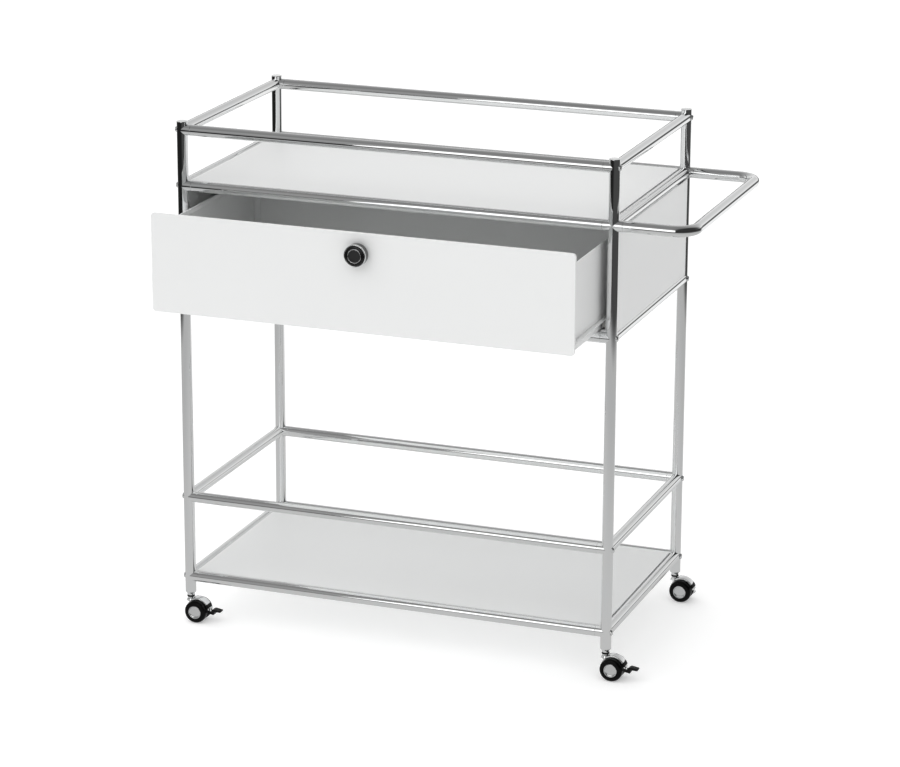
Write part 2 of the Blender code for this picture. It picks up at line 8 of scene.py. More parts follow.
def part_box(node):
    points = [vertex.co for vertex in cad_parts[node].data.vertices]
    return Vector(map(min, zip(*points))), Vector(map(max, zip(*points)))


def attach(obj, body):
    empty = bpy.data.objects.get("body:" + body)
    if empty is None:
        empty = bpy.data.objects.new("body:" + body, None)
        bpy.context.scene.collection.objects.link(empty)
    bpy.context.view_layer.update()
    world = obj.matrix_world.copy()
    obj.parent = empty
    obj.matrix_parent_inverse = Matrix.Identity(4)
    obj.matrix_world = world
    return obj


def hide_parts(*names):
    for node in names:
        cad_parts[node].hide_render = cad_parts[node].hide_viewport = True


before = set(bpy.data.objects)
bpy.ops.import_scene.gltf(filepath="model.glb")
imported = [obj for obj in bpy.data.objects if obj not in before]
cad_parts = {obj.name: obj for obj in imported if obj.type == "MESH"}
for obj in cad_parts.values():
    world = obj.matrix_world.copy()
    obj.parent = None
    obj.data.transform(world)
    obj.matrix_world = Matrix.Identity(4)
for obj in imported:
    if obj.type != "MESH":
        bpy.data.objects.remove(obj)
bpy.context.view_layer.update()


# Posts. Four steel tubes, cut square, plugged flush on top and swaged at the foot to take a caster's stem.
# They are chromium plated over polished nickel, so the metal is bright, with faint cloudy handling marks.
CORNERS = ("front_left", "front_right", "back_left", "back_right")
POST_SIDES = 64
TUBE_WALL = 0.0015
EDGE_BREAK = 0.0007
PLUG_SEAM = 0.00018
SUPPORT = 0.0004
SWAGE_R = 0.0022
FOOT_RISE = 0.0035
SOCKET_R = 0.0062
STEM_BORE_R = 0.0043
STEM_BORE_DEPTH = 0.0225
CLOUDS_PER_METRE = 22
SMEARS_PER_METRE = 160
RIPPLES_PER_METRE = 95
RIPPLE_DEPTH = 0.00001


class Dial:
    """A shader socket. Its operators add Math nodes, and node() adds any other kind to the same tree."""

    def __init__(self, tree, socket=None):
        self.tree = tree
        self.socket = socket

    def node(self, kind, settings=None, inputs=None, out=0):
        """Settings are set first, then the inputs get values or links, by name or by place."""
        made = self.tree.nodes.new("ShaderNode" + kind)
        for key, value in (settings or {}).items():
            if key == "stops":
                ramp = made.color_ramp.elements
                while len(ramp) < len(value):
                    ramp.new(0.5)
                for stop, (place, grey) in zip(ramp, value):
                    stop.position = place
                    stop.color = (grey, grey, grey, 1.0)
            else:
                setattr(made, key, value)
        for key, value in (inputs or {}).items():
            if isinstance(key, int):
                socket = made.inputs[key]
            else:
                socket = next(s for s in made.inputs if s.name == key and s.enabled)
            self.plug(socket, value)
        outputs = [s for s in made.outputs if s.enabled]
        return Dial(self.tree, outputs[out])

    def plug(self, socket, value):
        if isinstance(value, Dial):
            self.tree.links.new(value.socket, socket)
        elif isinstance(value, tuple) and len(value) == 3 and socket.type == "RGBA":
            socket.default_value = (*value, 1.0)
        else:
            socket.default_value = value

    def math(self, operation, *values):
        return self.node("Math", {"operation": operation}, dict(enumerate(values)))

    def __add__(self, other):
        return self.math("ADD", self, other)

    def __radd__(self, other):
        return self.math("ADD", other, self)

    def __sub__(self, other):
        return self.math("SUBTRACT", self, other)

    def __rsub__(self, other):
        return self.math("SUBTRACT", other, self)

    def __mul__(self, other):
        return self.math("MULTIPLY", self, other)

    def __rmul__(self, other):
        return self.math("MULTIPLY", other, self)

    def ramp(self, *stops):
        return self.node("ValToRGB", {"stops": stops}, {"Fac": self})

    def between(self, low, high):
        """A colour from low to high, as this value goes from 0 to 1."""
        return self.node("Mix", {"data_type": "RGBA"}, {"Factor": self, "A": low, "B": high})


def new_finish(name, **constants):
    """A material, its shader node with the constant values set, and a Dial to build its pattern from."""
    made = bpy.data.materials.new(name)
    made.use_nodes = True
    shader = made.node_tree.nodes["Principled BSDF"]
    for key, value in constants.items():
        shader.inputs[key.replace("_", " ")].default_value = value
    return made, shader, Dial(made.node_tree)


def grain(dial, scale, detail=2.0, stretch=(1, 1, 1)):
    """Noise fixed to the piece, with about this many features to the metre."""
    place = dial.node("TexCoord", out=3)
    if stretch != (1, 1, 1):
        place = dial.node("Mapping", None, {"Vector": place, "Scale": stretch})
    return dial.node("TexNoise", None, {"Vector": place, "Scale": scale, "Detail": detail})


def relief(dial, shader, height, depth, strength):
    """A bump this many metres deep, as height goes from 0 to 1."""
    bump = dial.node("Bump", None, {"Height": height, "Distance": depth, "Strength": strength})
    dial.plug(shader.inputs["Normal"], bump)


def chrome_finish(name, tone, gloss, brushed=(1, 1, 1)):
    """Bright plated steel: tone is its reflectance, gloss its lowest roughness."""
    made, shader, dial = new_finish(name, Metallic=1.0)
    cloud = grain(dial, CLOUDS_PER_METRE, 3.0)
    smear = grain(dial, SMEARS_PER_METRE, 4.0, brushed)
    cool = (tone * 0.965, tone * 0.985, tone)
    warm = (tone, tone * 0.997, tone * 0.985)
    dial.plug(shader.inputs["Base Color"], cloud.between(cool, warm))
    dial.plug(shader.inputs["Roughness"], gloss + 0.030 * cloud * smear + 0.012 * smear)
    relief(dial, shader, grain(dial, RIPPLES_PER_METRE), RIPPLE_DEPTH, 0.5)
    return made


def loft(name, rings, joined=False):
    """A solid skinned over rings of points: capped at its ends, or joined from the last ring to the first."""
    made = bmesh.new()
    rows = [[made.verts.new(point) for point in ring] for ring in rings]
    count = len(rows[0])
    pairs = list(zip(rows, rows[1:]))
    if joined:
        pairs.append((rows[-1], rows[0]))
    for low, high in pairs:
        for i in range(count):
            j = (i + 1) % count
            made.faces.new((low[i], low[j], high[j], high[i]))
    if not joined:
        made.faces.new(rows[0][::-1])
        made.faces.new(rows[-1])
    bmesh.ops.remove_doubles(made, verts=made.verts, dist=0.0000005)
    bmesh.ops.recalc_face_normals(made, faces=made.faces)
    mesh = bpy.data.meshes.new(name)
    made.to_mesh(mesh)
    made.free()
    return mesh


def turned(name, outline, sides, place, joined=False):
    """A lathe-turned solid: (radius, height) points round an axis that the matrix puts in place. It is capped
    at both ends, or joined from the last point to the first as a ring with an open middle."""
    turns = [2 * math.pi * i / sides for i in range(sides)]
    rings = [[place @ Vector((r * math.cos(t), r * math.sin(t), h)) for t in turns] for r, h in outline]
    return loft(name, rings, joined)


def piece(mesh, finish, body, slot, *nodes, crease=32):
    """A finished piece: smooth but for its creases, riding on its body, in place of its CAD nodes."""
    made = bpy.data.objects.new(mesh.name, mesh)
    bpy.context.scene.collection.objects.link(made)
    mesh.materials.append(finish)
    mesh.shade_smooth()
    mesh.set_sharp_from_angle(angle=math.radians(crease))
    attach(made, body)
    if nodes:
        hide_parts(*nodes)
    return made


def box(node):
    low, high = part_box(node)
    return Vector(low), Vector(high)


def middle(node):
    low, high = box(node)
    return (low + high) / 2


def arc(cx, cy, radius, start, end, steps):
    """Points on an arc in a plane, in degrees, with both ends."""
    turns = [math.radians(start + (end - start) * i / steps) for i in range(steps + 1)]
    return [(cx + radius * math.cos(t), cy + radius * math.sin(t)) for t in turns]


chrome = chrome_finish("bright_chrome", 0.87, 0.020)
post_low, post_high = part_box("post_front_left")
TUBE_R = (post_high[0] - post_low[0]) / 2
POST_TOP = post_high[2]
SOCKET_LOW = post_low[2]
POST_FOOT = SOCKET_LOW + FOOT_RISE
AXES = {corner: middle("post_" + corner).xy for corner in CORNERS}

plug_r = TUBE_R - TUBE_WALL
post_outline = [
    (0, POST_TOP),
    (plug_r - PLUG_SEAM, POST_TOP),
    (plug_r, POST_TOP - PLUG_SEAM),
    (plug_r + PLUG_SEAM, POST_TOP),
]
post_outline += arc(TUBE_R - EDGE_BREAK, POST_TOP - EDGE_BREAK, EDGE_BREAK, 90, 0, 4)
post_outline += [(TUBE_R, POST_TOP - EDGE_BREAK - SUPPORT), (TUBE_R, POST_FOOT + 0.0032)]
post_outline += arc(TUBE_R - SWAGE_R, POST_FOOT + 0.0028, SWAGE_R, 0, -65, 6)
post_outline += [
    (SOCKET_R + 0.0002, POST_FOOT - 0.0001),
    (SOCKET_R, POST_FOOT - 0.0006),
    (SOCKET_R, SOCKET_LOW + 0.0002),
    (SOCKET_R - 0.0002, SOCKET_LOW),
    (STEM_BORE_R, SOCKET_LOW),
    (STEM_BORE_R, POST_FOOT + STEM_BORE_DEPTH),
    (0, POST_FOOT + STEM_BORE_DEPTH),
]
for corner in CORNERS:
    at = Matrix.Translation((*AXES[corner], 0))
    mesh = turned("chromed_post_" + corner, post_outline, POST_SIDES, at)
    piece(mesh, chrome, "cart_frame", "chrome", "post_" + corner, crease=25)


# Rails. Twenty lengths of the same tube. Both ends are milled to saddle the post, and mitred where two rails
# meet there. On the long rails a pressed-in end fitting shows as a fine turned seam just off the post.
RINGS = ("lower_shelf", "lower_gallery", "drawer_bay", "upper_shelf", "upper_gallery")
RAIL_SIDES = 48
JOINT_GAP = 0.00012
SEAM_AT = TUBE_R + 0.0075
SEAM_HALF = 0.00030
SEAM_DEPTH = 0.00028
HEADING_STEP = 0.0004


def saddle(across, mitre):
    """How far from the post's axis a rail's end starts: mitre is the side, or both, cut at 45 degrees."""
    round_post = math.sqrt(max(TUBE_R**2 - across**2, 0))
    if mitre == "both":
        return max(round_post, abs(across)) + JOINT_GAP
    return max(round_post, across * mitre) + JOINT_GAP


def tube(name, path, mitre, seam=None):
    """A hollow tube along level points from one post's axis to another's. Its mitred side is +1 to the left,
    and seam is how far in from each axis the turned seam lies."""
    lengths = [0.0]
    for a, b in zip(path, path[1:]):
        lengths.append(lengths[-1] + (b - a).length)
    total = lengths[-1]
    marks = [(d, 0.0) for d in lengths[1:-1]]
    if seam:
        for side in (seam, total - seam):
            marks += [(side - SEAM_HALF, 0.0), (side, SEAM_DEPTH), (side + SEAM_HALF, 0.0)]
    stations = [(0.0, 0.0)] + sorted(marks) + [(total, 0.0)]
    last = len(stations) - 1

    def point_at(distance):
        for k in range(len(path) - 1):
            if distance <= lengths[k + 1] + 1e-9:
                share = (distance - lengths[k]) / (lengths[k + 1] - lengths[k])
                return path[k].lerp(path[k + 1], share)
        return path[-1]

    def heading(k, distance):
        if k == 0:
            return (path[1] - path[0]).normalized()
        if k == last:
            return (path[-1] - path[-2]).normalized()
        return (point_at(distance + HEADING_STEP) - point_at(distance - HEADING_STEP)).normalized()

    def ring(k, radius):
        distance, sunk = stations[k]
        ahead = heading(k, distance)
        left = Vector((0, 0, 1)).cross(ahead)
        points = []
        for i in range(RAIL_SIDES):
            turn = 2 * math.pi * i / RAIL_SIDES
            across = (radius - sunk) * math.cos(turn)
            up = (radius - sunk) * math.sin(turn)
            point = point_at(distance) + left * across + Vector((0, 0, up))
            if k == 0:
                point = point + ahead * saddle(across, mitre)
            elif k == last:
                point = point - ahead * saddle(across, mitre)
            points.append(point)
        return points

    outer = [ring(k, TUBE_R) for k in range(last + 1)]
    inner = [ring(k, TUBE_R - TUBE_WALL) for k in (last, 0)]
    return loft(name, outer + inner, joined=True)


def joint(corner, z):
    return Vector((*AXES[corner], z))


RING_Z = {ring_name: middle(ring_name + "_rail_front").z for ring_name in RINGS}
for ring_name in RINGS:
    z = RING_Z[ring_name]
    for end, mitre in (("front", 1), ("back", -1)):
        node = ring_name + "_rail_" + end
        path = [joint(end + "_left", z), joint(end + "_right", z)]
        mesh = tube("chromed_" + node, path, mitre, SEAM_AT)
        piece(mesh, chrome, "cart_frame", "chrome", node)
    for end, mitre in (("left", -1), ("right", 1)):
        node = ring_name + "_rail_" + end
        path = [joint("front_" + end, z), joint("back_" + end, z)]
        if node == "upper_shelf_rail_right":
            mitre = "both"
        mesh = tube("chromed_" + node, path, mitre)
        piece(mesh, chrome, "cart_frame", "chrome", node)


# Push handle. One tube of the same stock, cold bent to a U and fastened to the right-hand posts in line with
# the long rails of the upper shelf ring, so that its arms carry those rails on past the posts.
HANDLE_BEND_R = 0.032
HANDLE_BEND_STEPS = 20
STRAIGHT = 0.0006
handle_z = RING_Z["upper_shelf"]
bar_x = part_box("push_handle")[1][0] - TUBE_R
bend_x = bar_x - HANDLE_BEND_R
front_y = AXES["front_right"].y
back_y = AXES["back_right"].y
bend = [(bend_x - STRAIGHT, front_y)]
bend += arc(bend_x, front_y + HANDLE_BEND_R, HANDLE_BEND_R, -90, 0, HANDLE_BEND_STEPS)
bend += [(bar_x, front_y + HANDLE_BEND_R + STRAIGHT), (bar_x, back_y - HANDLE_BEND_R - STRAIGHT)]
bend += arc(bend_x, back_y - HANDLE_BEND_R, HANDLE_BEND_R, 0, 90, HANDLE_BEND_STEPS)
bend += [(bend_x - STRAIGHT, back_y)]
handle_path = [joint("front_right", handle_z)]
handle_path += [Vector((x, y, handle_z)) for x, y in bend]
handle_path += [joint("back_right", handle_z)]
mesh = tube("chromed_push_handle", handle_path, 1, SEAM_AT)
piece(mesh, chrome, "cart_frame", "chrome", "push_handle")


# Screw heads. Each long rail is drawn up to its post by a bolt from the far side, and a low domed chrome head
# shows on the post's outer face at every ring, but for the two joints that the handle's arms cover.
HEAD_SIDES = 32
HEAD_R = 0.0048
HEAD_RISE = 0.0028
HEAD_RIM = 0.0010
HEAD_SUNK = 0.0026
dome = [math.radians(10 * i) for i in range(1, 10)]
head_outline = [(0, HEAD_RISE)]
head_outline += [(HEAD_R * math.sin(t), HEAD_RIM + (HEAD_RISE - HEAD_RIM) * math.cos(t)) for t in dome]
head_outline += [
    (HEAD_R - 0.0002, 0.0004),
    (HEAD_R - 0.0008, 0),
    (HEAD_R - 0.0008, -HEAD_SUNK),
    (0, -HEAD_SUNK),
]
for corner in CORNERS:
    outwards = -1 if corner.endswith("left") else 1
    for ring_name in RINGS:
        if ring_name == "upper_shelf" and outwards == 1:
            continue
        at = Matrix.Translation(joint(corner, RING_Z[ring_name]) + Vector((outwards * TUBE_R, 0, 0)))
        at = at @ Matrix.Rotation(outwards * math.pi / 2, 4, "Y")
        mesh = turned("rail_screw_" + ring_name + "_" + corner, head_outline, HEAD_SIDES, at)
        piece(mesh, chrome, "cart_frame", "chrome", crease=40)


# Panels. Shelves, bay floor, bay sides and bay back are pans of sheet steel, folded round their edges and
# powder coated white. Each skin lies just under the crown of the tubes round it, notched clear of the posts.
QUARTER = math.pi / 2
SHEET = 0.0012
SKIN_EDGE = 0.0070
RIM_EDGE = 0.0092
RIM_DEPTH = 0.010
NOTCH_R = 0.0112
PAN_CORNER_R = 0.0015
EDGE_ROUND = 0.0004
BURR = 0.0002
FACE_BORDER = 0.0030
PEEL_PER_METRE = 900
DRIFT_PER_METRE = 6
PEEL_DEPTH = 0.000018


def powder_coat(name, tone, cast):
    """White powder coat over steel: fine orange peel, a low sheen and the faintest unevenness of colour."""
    made, shader, dial = new_finish(name, Specular_IOR_Level=0.42)
    peel = grain(dial, PEEL_PER_METRE, 1.5)
    drift = grain(dial, DRIFT_PER_METRE, 3.0)
    low = tuple(tone * 0.985 * c for c in cast)
    high = tuple(tone * c for c in cast)
    dial.plug(shader.inputs["Base Color"], drift.between(low, high))
    dial.plug(shader.inputs["Roughness"], 0.36 + 0.05 * drift + 0.05 * peel)
    relief(dial, shader, peel, PEEL_DEPTH, 0.6)
    return made


def notched(inset):
    """Corner points of a panel, from the post's axis: a bite round the post, or a small round corner."""
    if inset < NOTCH_R / math.sqrt(2) - 0.0004:
        turn = math.degrees(math.asin(inset / NOTCH_R))
        return [(y, x) for x, y in arc(0, 0, NOTCH_R, turn, 90 - turn, 8)][::-1]
    return arc(inset + PAN_CORNER_R, inset + PAN_CORNER_R, PAN_CORNER_R, 180, 270, 8)


def pan(name, half_a, half_b, stations, corner, place):
    """A folded pan: loops at (inset, depth) stations, from its face round its rim to the underside."""
    rings = []
    for inset, depth in stations:
        ring = []
        for side_a, side_b in ((1, 1), (-1, 1), (-1, -1), (1, -1)):
            points = corner(inset)
            if side_a * side_b < 0:
                points = points[::-1]
            for p, q in points:
                ring.append(place @ Vector((side_a * (half_a - p), side_b * (half_b - q), -depth)))
        rings.append(ring)
    return loft(name, rings)


white_coat = powder_coat("white_powder_coat", 0.87, (0.992, 1.0, 0.997))
edge = arc(0, 0, EDGE_ROUND, 90, 0, 3)
panel_stations = [(SKIN_EDGE + FACE_BORDER, 0)]
panel_stations += [(EDGE_ROUND + SKIN_EDGE - x, EDGE_ROUND - y) for x, y in edge]
panel_stations += [
    (SKIN_EDGE, SHEET),
    (RIM_EDGE, SHEET),
    (RIM_EDGE, RIM_DEPTH - BURR),
    (RIM_EDGE + BURR, RIM_DEPTH),
    (RIM_EDGE + SHEET - BURR, RIM_DEPTH),
    (RIM_EDGE + SHEET, RIM_DEPTH - BURR),
    (RIM_EDGE + SHEET, SHEET),
]
half_x = (AXES["front_right"].x - AXES["front_left"].x) / 2
half_y = (AXES["back_left"].y - AXES["front_left"].y) / 2
half_bay = (RING_Z["upper_shelf"] - RING_Z["drawer_bay"]) / 2
PANELS = (
    ("upper_shelf", half_x, half_y, 2, 1, (0, 0)),
    ("lower_shelf", half_x, half_y, 2, 1, (0, 0)),
    ("bay_floor", half_x, half_y, 2, -1, (2 * QUARTER, 0)),
    ("bay_back", half_x, half_bay, 1, 1, (-QUARTER, 0)),
    ("bay_side_left", half_bay, half_y, 0, -1, (0, -QUARTER)),
    ("bay_side_right", half_bay, half_y, 0, 1, (0, QUARTER)),
)
for node, half_a, half_b, axis, facing, (turn_x, turn_y) in PANELS:
    at = middle(node)
    at[axis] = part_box(node)[1 if facing > 0 else 0][axis]
    place = Matrix.Translation(at) @ Matrix.Rotation(turn_y, 4, "Y") @ Matrix.Rotation(turn_x, 4, "X")
    mesh = pan("coated_" + node, half_a, half_b, panel_stations, notched, place)
    piece(mesh, white_coat, "cart_frame", "white_coat", node, crease=38)


# Drawer front. A shallow folded tray of the same coated sheet, its rim turned back all round and its corners
# rounded and welded shut. It hangs in front of the box and covers the bay's opening.
FRONT_CORNER_R = 0.0055
FRONT_RIM = 0.005
FRONT_EDGE = 0.0006
front_low, front_high = box("drawer_front")
edge = arc(0, 0, FRONT_EDGE, 90, 0, 4)
front_stations = [(FACE_BORDER, 0)]
front_stations += [(FRONT_EDGE - x, FRONT_EDGE - y) for x, y in edge]
front_stations += [
    (0, FRONT_RIM - EDGE_ROUND),
    (EDGE_ROUND, FRONT_RIM),
    (SHEET - BURR, FRONT_RIM),
    (SHEET, FRONT_RIM - BURR),
    (SHEET, SHEET + FRONT_EDGE),
    (SHEET + FRONT_EDGE, SHEET),
]


def round_corner(inset):
    r = max(FRONT_CORNER_R - inset, 0.001)
    return arc(inset + r, inset + r, r, 180, 270, 10)


front_at = middle("drawer_front")
front_at.y = front_low.y
front_half = (front_high - front_low) / 2
place = Matrix.Translation(front_at) @ Matrix.Rotation(QUARTER, 4, "X")
mesh = pan("coated_drawer_front", front_half.x, front_half.z, front_stations, round_corner, place)
piece(mesh, white_coat, "drawer", "white_coat", "drawer_front", crease=38)


# Drawer walls. Two sides and a back of coated sheet stand behind the front. Each top edge is folded over into
# a flat hem, so that no raw edge meets the hand, and the walls are spot welded at the corners.
HEM_DEPTH = 0.007
HAIR = 0.0001


def folded_strip(name, outline, low, high, axis="y"):
    """A folded strip of sheet: an outline across the run, carried from low to high along the axis."""
    if axis == "y":
        return loft(name, [[Vector((u, at, v)) for u, v in outline] for at in (low, high)])
    return loft(name, [[Vector((at, u, v)) for u, v in outline] for at in (low, high)])


def wall_outline(outer, inner, low, high):
    """A drawer wall's section: bare sheet, with its top edge folded over towards the inside."""
    way = 1 if inner > outer else -1
    sheet = abs(inner - outer)
    drop = high - sheet - HEM_DEPTH
    outline = [(outer, low)]
    outline += [(outer + way * x, high - sheet + y) for x, y in arc(sheet, 0, sheet, 180, 0, 8)]
    outline += [
        (inner + way * sheet, drop),
        (inner + way * HAIR, drop),
        (inner, drop - BURR),
        (inner, low),
    ]
    return outline


for side in ("left", "right"):
    low, high = box("drawer_side_" + side)
    outer, inner = (low.x, high.x) if side == "left" else (high.x, low.x)
    outline = wall_outline(outer, inner, low.z, high.z)
    mesh = folded_strip("coated_drawer_side_" + side, outline, low.y, high.y)
    piece(mesh, white_coat, "drawer", "white_coat", "drawer_side_" + side)
back_low, back_high = box("drawer_back")
outline = wall_outline(back_high.y, back_low.y, back_low.z, back_high.z)
mesh = folded_strip("coated_drawer_back", outline, back_low.x, back_high.x, "x")
piece(mesh, white_coat, "drawer", "white_coat", "drawer_back")


# Drawer floor. A flat coated sheet with an upturned flange along each side, which is spot welded to the wall
# beside it and stiffens the box.
FLANGE = 0.011
FLANGE_SHEET = 0.0008
floor_low, floor_high = box("drawer_floor")
lift = floor_high.z
floor_outline = [
    (floor_low.x, floor_low.z),
    (floor_low.x, lift + FLANGE),
    (floor_low.x + FLANGE_SHEET, lift + FLANGE),
    (floor_low.x + FLANGE_SHEET, lift),
    (floor_high.x - FLANGE_SHEET, lift),
    (floor_high.x - FLANGE_SHEET, lift + FLANGE),
    (floor_high.x, lift + FLANGE),
    (floor_high.x, floor_low.z),
]
mesh = folded_strip("coated_drawer_floor", floor_outline, floor_low.y, floor_high.y)
piece(mesh, white_coat, "drawer", "white_coat", "drawer_floor")


# Corner straps. The side walls' rear edges are turned in along the back and welded there, and they show
# inside the drawer as an upright coated strap in each rear corner.
STRAP = 0.012
STRAP_LIP = 0.0014
STRAP_BELOW_TOP = 0.010
for side, way in (("left", 1), ("right", -1)):
    wall = back_low.x if side == "left" else back_high.x
    strap_from = wall + way * BURR
    strap_to = wall + way * STRAP
    outline = [
        (strap_from, back_low.y - STRAP_LIP),
        (strap_to - way * EDGE_ROUND, back_low.y - STRAP_LIP),
        (strap_to, back_low.y - STRAP_LIP * 0.5),
        (strap_to, back_low.y),
        (strap_from, back_low.y),
    ]
    ends = (lift + 0.001, back_high.z - STRAP_BELOW_TOP)
    rings = [[Vector((u, v, z)) for u, v in outline] for z in ends]
    piece(loft("drawer_corner_strap_" + side, rings), white_coat, "drawer", "white_coat")


# Front corner blocks. A small black block with rounded edges stands in each upper corner behind the drawer's
# front.
CORNER_BLOCK = Vector((0.006, 0.0045, 0.010))
CORNER_BLOCK_ROUND = 0.0008
BROAD_MARKS_PER_METRE = 70
TEXTURE_DEPTH = 0.00002


def pebble(name, low, high, round_r):
    """A block with all its edges rounded."""
    made = bmesh.new()
    bmesh.ops.create_cube(made, size=1.0)
    for vert in made.verts:
        vert.co = [low[i] + (vert.co[i] + 0.5) * (high[i] - low[i]) for i in range(3)]
    bmesh.ops.bevel(made, geom=made.edges[:], offset=round_r, segments=3, affect="EDGES", profile=0.5)
    mesh = bpy.data.meshes.new(name)
    made.to_mesh(mesh)
    made.free()
    return mesh


def moulded_black(name, tone, roughness, texture):
    """Black moulded plastic or rubber: texture is how many of its eroded marks there are to the metre."""
    made, shader, dial = new_finish(name, Specular_IOR_Level=0.13)
    fine = grain(dial, texture)
    broad = grain(dial, BROAD_MARKS_PER_METRE)
    dial.plug(shader.inputs["Base Color"], broad.between((tone, tone, tone * 1.12), (tone * 1.5,) * 3))
    dial.plug(shader.inputs["Roughness"], roughness + 0.10 * fine + 0.05 * broad)
    relief(dial, shader, fine, TEXTURE_DEPTH, 0.5)
    return made


black_rubber = moulded_black("soft_black_rubber", 0.004, 0.40, 1800)
for side, way in (("left", 1), ("right", -1)):
    low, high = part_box("drawer_side_" + side)
    outer = low[0] if side == "left" else high[0]
    near_x, far_x = sorted((outer - way * CORNER_BLOCK.x, outer))
    pad_low = Vector((near_x, front_low.y + SHEET, high[2] - 0.001))
    pad_high = Vector((far_x, pad_low.y + CORNER_BLOCK.y, pad_low.z + CORNER_BLOCK.z))
    mesh = pebble("drawer_bumper_" + side, pad_low, pad_high, CORNER_BLOCK_ROUND)
    piece(mesh, black_rubber, "drawer", "black_plastic")


# Knob base. A cup turned from bar and chrome plated, with a narrow waist against the drawer's front. Its
# plating is given a very dark tone, which paints in the dark reflection that the cup shows: painted shade.
# A bright satin bezel is pressed on its rim and holds the disc.
KNOB_SIDES = 72
BEZEL_SIDES = 96
knob_low, knob_high = box("knob_base")
cap_low, cap_high = box("knob_cap")
knob_at = middle("knob_base")
knob_r = (knob_high.x - knob_low.x) / 2
disc_r = knob_r - 0.0019
groove_r = knob_r - 0.0006
waist_r = knob_r - 0.0036
base_length = knob_high.y - knob_low.y
cap_length = cap_high.y - cap_low.y
seat = base_length - 0.0004
rim = base_length + cap_length - 0.0009
# The cup's chrome, given a very dark tone as painted shade for the dark reflection it shows.
chrome_painted_dark = chrome_finish("chrome_painted_dark", 0.12, 0.060)
satin_chrome = chrome_finish("satin_chrome", 0.90, 0.14, (1, 1, 6))
knob_place = Matrix.Translation((knob_at.x, knob_high.y, knob_at.z)) @ Matrix.Rotation(QUARTER, 4, "X")
base_outline = [
    (0, seat),
    (disc_r + 0.0002, seat),
    (disc_r + 0.0002, rim - 0.0004),
    (groove_r, rim - 0.0014),
    (groove_r, rim - 0.0030),
    (knob_r, rim - 0.0034),
    (knob_r, 0.0044),
]
base_outline += arc(knob_r - 0.0008, 0.0040, 0.0008, 0, -60, 3)
base_outline += [(waist_r, 0.0016), (waist_r, 0.0003), (waist_r - 0.0002, 0), (0, 0)]
mesh = turned("turned_knob_base", base_outline, KNOB_SIDES, knob_place)
piece(mesh, chrome_painted_dark, "drawer", "chrome", "knob_base", crease=28)
bezel = [(disc_r + 0.0003, rim - 0.0013), (disc_r + 0.0003, rim - 0.0005)]
bezel += arc(disc_r + 0.0010, rim - 0.0005, 0.0007, 180, 90, 4)
bezel += arc(knob_r - 0.0008, rim - 0.0006, 0.0008, 90, 0, 5)
bezel += [(knob_r, rim - 0.0026), (knob_r - 0.0005, rim - 0.0029), (knob_r - 0.0005, rim - 0.0013)]
mesh = turned("knob_bezel", bezel, BEZEL_SIDES, knob_place, joined=True)
piece(mesh, satin_chrome, "drawer", "chrome", crease=28)


# Knob disc. Black lacquered metal, with a polished outer band cut by a few fine turned lines and a sunk satin
# middle. A thin raised ring runs round it where the two meet. The ring is bright satin chrome, not the disc's
# black, and so paints the highlight along that ridge: painted highlight.
SUNK = 0.0007
DISC_EDGE = 0.0014
SATIN_R = 0.0099
LINES_FROM_R = 0.0116
LINES_TO_R = 0.0146
LINE_PITCH = 0.00075
LINE_DEPTH = 0.00005
DUST_PER_METRE = 420
RIDGE_R = 0.0108
RIDGE_HALF = 0.00055


def knob_black(name):
    """Black lacquer, with turned lines too fine to model in its outer band."""
    made, shader, dial = new_finish(name, Specular_IOR_Level=0.6)
    place = dial.node("TexCoord", out=3)
    centred = dial.node("VectorMath", {"operation": "SUBTRACT"}, {0: place, 1: tuple(knob_at)})
    flat = dial.node("VectorMath", {"operation": "MULTIPLY"}, {0: centred, 1: (1.0, 0.0, 1.0)})
    radius = dial.node("VectorMath", {"operation": "LENGTH"}, {0: flat})
    lines = dial.math("SINE", radius * (2 * math.pi / LINE_PITCH)) * 0.5 + 0.5
    band = dial.math("GREATER_THAN", radius, LINES_FROM_R) * dial.math("LESS_THAN", radius, LINES_TO_R)
    satin = dial.math("LESS_THAN", radius, SATIN_R)
    dust = grain(dial, DUST_PER_METRE, 3.0)
    tone = 0.002 + 0.005 * satin + 0.003 * dust
    dial.plug(shader.inputs["Base Color"], tone.between((0, 0, 0), (1, 1, 1.06)))
    dial.plug(shader.inputs["Roughness"], 0.09 + 0.30 * satin + 0.04 * dust + 0.08 * band * lines)
    relief(dial, shader, band * lines, LINE_DEPTH, 0.8)
    return made


cap_place = Matrix.Translation((knob_at.x, cap_high.y, knob_at.z)) @ Matrix.Rotation(QUARTER, 4, "X")
cap_outline = [
    (0, cap_length - SUNK),
    (0.0098, cap_length - SUNK),
    (0.0100, cap_length - SUNK + 0.0002),
    (0.0102, cap_length - 0.0002),
    (0.0105, cap_length),
]
cap_outline += arc(disc_r - DISC_EDGE, cap_length - DISC_EDGE, DISC_EDGE, 90, 0, 6)
cap_outline += [(disc_r, 0.0004), (disc_r - 0.0006, 0.0002), (0, 0.0002)]
mesh = turned("black_knob_disc", cap_outline, BEZEL_SIDES, cap_place)
piece(mesh, knob_black("black_lacquer"), "drawer", "black_gloss", "knob_cap", crease=25)
# The raised ring, in bright satin chrome: a painted highlight along a ridge of the black disc.
ridge = arc(RIDGE_R, cap_length - 0.0001, RIDGE_HALF, 0, 360, 12)[:-1]
mesh = turned("knob_ridge_ring", ridge, KNOB_SIDES, cap_place, joined=True)
piece(mesh, satin_chrome, "drawer", "chrome")


